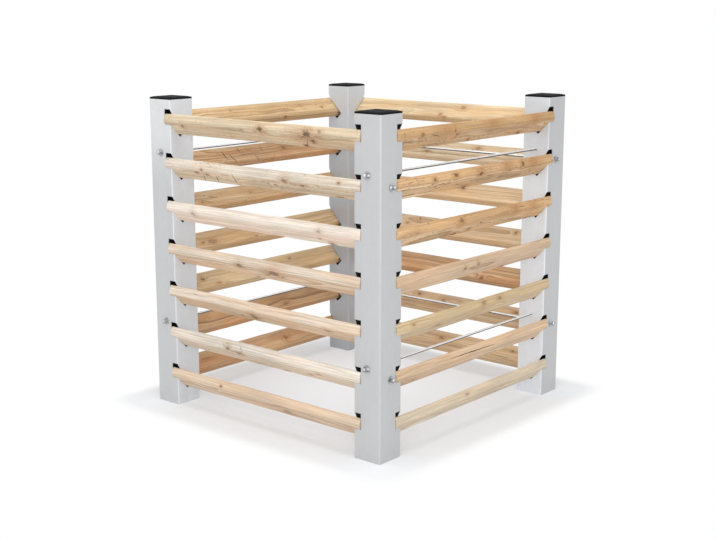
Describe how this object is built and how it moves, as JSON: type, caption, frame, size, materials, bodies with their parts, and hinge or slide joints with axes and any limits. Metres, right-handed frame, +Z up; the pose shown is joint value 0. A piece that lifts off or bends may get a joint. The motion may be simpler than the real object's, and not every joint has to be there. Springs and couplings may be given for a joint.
{
  "type": "compost bin",
  "caption": "Square open garden compost bin: tilted wooden slats dropped into slanted slots of sheet-steel corner posts, held by tie rods, with black post caps.",
  "frame": {"origin": "on the ground at the middle of the bin's square footprint", "axes": "+Z up; -Y out of the front side, +X out of the right side"},
  "size_m": [0.984, 0.984, 1.0025],
  "materials": {
    "larch_wood": "planed, untreated",
    "galvanised_steel": "dull zinc coat",
    "zinc_plated_steel": "bright zinc plate",
    "black_plastic": "satin moulded"
  },
  "bodies": {
    "frame": {"post_front_left": "galvanised_steel", "cap_front_left": "black_plastic", "post_front_right": "galvanised_steel", "cap_front_right": "black_plastic", "post_back_right": "galvanised_steel", "cap_back_right": "black_plastic", "post_back_left": "galvanised_steel", "cap_back_left": "black_plastic", "front_rod_upper": "zinc_plated_steel", "front_rod_lower": "zinc_plated_steel", "front_rod_washers": "zinc_plated_steel", "front_cap_nuts": "zinc_plated_steel", "right_rod_upper": "zinc_plated_steel", "right_rod_lower": "zinc_plated_steel", "right_rod_washers": "zinc_plated_steel", "right_cap_nuts": "zinc_plated_steel", "back_rod_upper": "zinc_plated_steel", "back_rod_lower": "zinc_plated_steel", "back_rod_washers": "zinc_plated_steel", "back_cap_nuts": "zinc_plated_steel", "left_rod_upper": "zinc_plated_steel", "left_rod_lower": "zinc_plated_steel", "left_rod_washers": "zinc_plated_steel", "left_cap_nuts": "zinc_plated_steel"},
    "front_slat_1": {"front_slat_1": "larch_wood"},
    "front_slat_2": {"front_slat_2": "larch_wood"},
    "front_slat_3": {"front_slat_3": "larch_wood"},
    "front_slat_4": {"front_slat_4": "larch_wood"},
    "front_slat_5": {"front_slat_5": "larch_wood"},
    "front_slat_6": {"front_slat_6": "larch_wood"},
    "front_slat_7": {"front_slat_7": "larch_wood"},
    "right_slat_1": {"right_slat_1": "larch_wood"},
    "right_slat_2": {"right_slat_2": "larch_wood"},
    "right_slat_3": {"right_slat_3": "larch_wood"},
    "right_slat_4": {"right_slat_4": "larch_wood"},
    "right_slat_5": {"right_slat_5": "larch_wood"},
    "right_slat_6": {"right_slat_6": "larch_wood"},
    "right_slat_7": {"right_slat_7": "larch_wood"},
    "back_slat_1": {"back_slat_1": "larch_wood"},
    "back_slat_2": {"back_slat_2": "larch_wood"},
    "back_slat_3": {"back_slat_3": "larch_wood"},
    "back_slat_4": {"back_slat_4": "larch_wood"},
    "back_slat_5": {"back_slat_5": "larch_wood"},
    "back_slat_6": {"back_slat_6": "larch_wood"},
    "back_slat_7": {"back_slat_7": "larch_wood"},
    "left_slat_1": {"left_slat_1": "larch_wood"},
    "left_slat_2": {"left_slat_2": "larch_wood"},
    "left_slat_3": {"left_slat_3": "larch_wood"},
    "left_slat_4": {"left_slat_4": "larch_wood"},
    "left_slat_5": {"left_slat_5": "larch_wood"},
    "left_slat_6": {"left_slat_6": "larch_wood"},
    "left_slat_7": {"left_slat_7": "larch_wood"}
  },
  "joints": [
    {"name": "front_slat_1_lift", "type": "slide", "parent": "frame", "child": "front_slat_1", "axis": [0, -0.7071, 0.7071], "range_m": [0, 0.09]},
    {"name": "front_slat_2_lift", "type": "slide", "parent": "frame", "child": "front_slat_2", "axis": [0, -0.7071, 0.7071], "range_m": [0, 0.09]},
    {"name": "front_slat_3_lift", "type": "slide", "parent": "frame", "child": "front_slat_3", "axis": [0, -0.7071, 0.7071], "range_m": [0, 0.09]},
    {"name": "front_slat_4_lift", "type": "slide", "parent": "frame", "child": "front_slat_4", "axis": [0, -0.7071, 0.7071], "range_m": [0, 0.09]},
    {"name": "front_slat_5_lift", "type": "slide", "parent": "frame", "child": "front_slat_5", "axis": [0, -0.7071, 0.7071], "range_m": [0, 0.09]},
    {"name": "front_slat_6_lift", "type": "slide", "parent": "frame", "child": "front_slat_6", "axis": [0, -0.7071, 0.7071], "range_m": [0, 0.09]},
    {"name": "front_slat_7_lift", "type": "slide", "parent": "frame", "child": "front_slat_7", "axis": [0, -0.7071, 0.7071], "range_m": [0, 0.09]},
    {"name": "right_slat_1_lift", "type": "slide", "parent": "frame", "child": "right_slat_1", "axis": [0.7071, 0, 0.7071], "range_m": [0, 0.09]},
    {"name": "right_slat_2_lift", "type": "slide", "parent": "frame", "child": "right_slat_2", "axis": [0.7071, 0, 0.7071], "range_m": [0, 0.09]},
    {"name": "right_slat_3_lift", "type": "slide", "parent": "frame", "child": "right_slat_3", "axis": [0.7071, 0, 0.7071], "range_m": [0, 0.09]},
    {"name": "right_slat_4_lift", "type": "slide", "parent": "frame", "child": "right_slat_4", "axis": [0.7071, 0, 0.7071], "range_m": [0, 0.09]},
    {"name": "right_slat_5_lift", "type": "slide", "parent": "frame", "child": "right_slat_5", "axis": [0.7071, 0, 0.7071], "range_m": [0, 0.09]},
    {"name": "right_slat_6_lift", "type": "slide", "parent": "frame", "child": "right_slat_6", "axis": [0.7071, 0, 0.7071], "range_m": [0, 0.09]},
    {"name": "right_slat_7_lift", "type": "slide", "parent": "frame", "child": "right_slat_7", "axis": [0.7071, 0, 0.7071], "range_m": [0, 0.09]},
    {"name": "back_slat_1_lift", "type": "slide", "parent": "frame", "child": "back_slat_1", "axis": [0, 0.7071, 0.7071], "range_m": [0, 0.09]},
    {"name": "back_slat_2_lift", "type": "slide", "parent": "frame", "child": "back_slat_2", "axis": [0, 0.7071, 0.7071], "range_m": [0, 0.09]},
    {"name": "back_slat_3_lift", "type": "slide", "parent": "frame", "child": "back_slat_3", "axis": [0, 0.7071, 0.7071], "range_m": [0, 0.09]},
    {"name": "back_slat_4_lift", "type": "slide", "parent": "frame", "child": "back_slat_4", "axis": [0, 0.7071, 0.7071], "range_m": [0, 0.09]},
    {"name": "back_slat_5_lift", "type": "slide", "parent": "frame", "child": "back_slat_5", "axis": [0, 0.7071, 0.7071], "range_m": [0, 0.09]},
    {"name": "back_slat_6_lift", "type": "slide", "parent": "frame", "child": "back_slat_6", "axis": [0, 0.7071, 0.7071], "range_m": [0, 0.09]},
    {"name": "back_slat_7_lift", "type": "slide", "parent": "frame", "child": "back_slat_7", "axis": [0, 0.7071, 0.7071], "range_m": [0, 0.09]},
    {"name": "left_slat_1_lift", "type": "slide", "parent": "frame", "child": "left_slat_1", "axis": [-0.7071, 0, 0.7071], "range_m": [0, 0.09]},
    {"name": "left_slat_2_lift", "type": "slide", "parent": "frame", "child": "left_slat_2", "axis": [-0.7071, 0, 0.7071], "range_m": [0, 0.09]},
    {"name": "left_slat_3_lift", "type": "slide", "parent": "frame", "child": "left_slat_3", "axis": [-0.7071, 0, 0.7071], "range_m": [0, 0.09]},
    {"name": "left_slat_4_lift", "type": "slide", "parent": "frame", "child": "left_slat_4", "axis": [-0.7071, 0, 0.7071], "range_m": [0, 0.09]},
    {"name": "left_slat_5_lift", "type": "slide", "parent": "frame", "child": "left_slat_5", "axis": [-0.7071, 0, 0.7071], "range_m": [0, 0.09]},
    {"name": "left_slat_6_lift", "type": "slide", "parent": "frame", "child": "left_slat_6", "axis": [-0.7071, 0, 0.7071], "range_m": [0, 0.09]},
    {"name": "left_slat_7_lift", "type": "slide", "parent": "frame", "child": "left_slat_7", "axis": [-0.7071, 0, 0.7071], "range_m": [0, 0.09]}
  ]
}
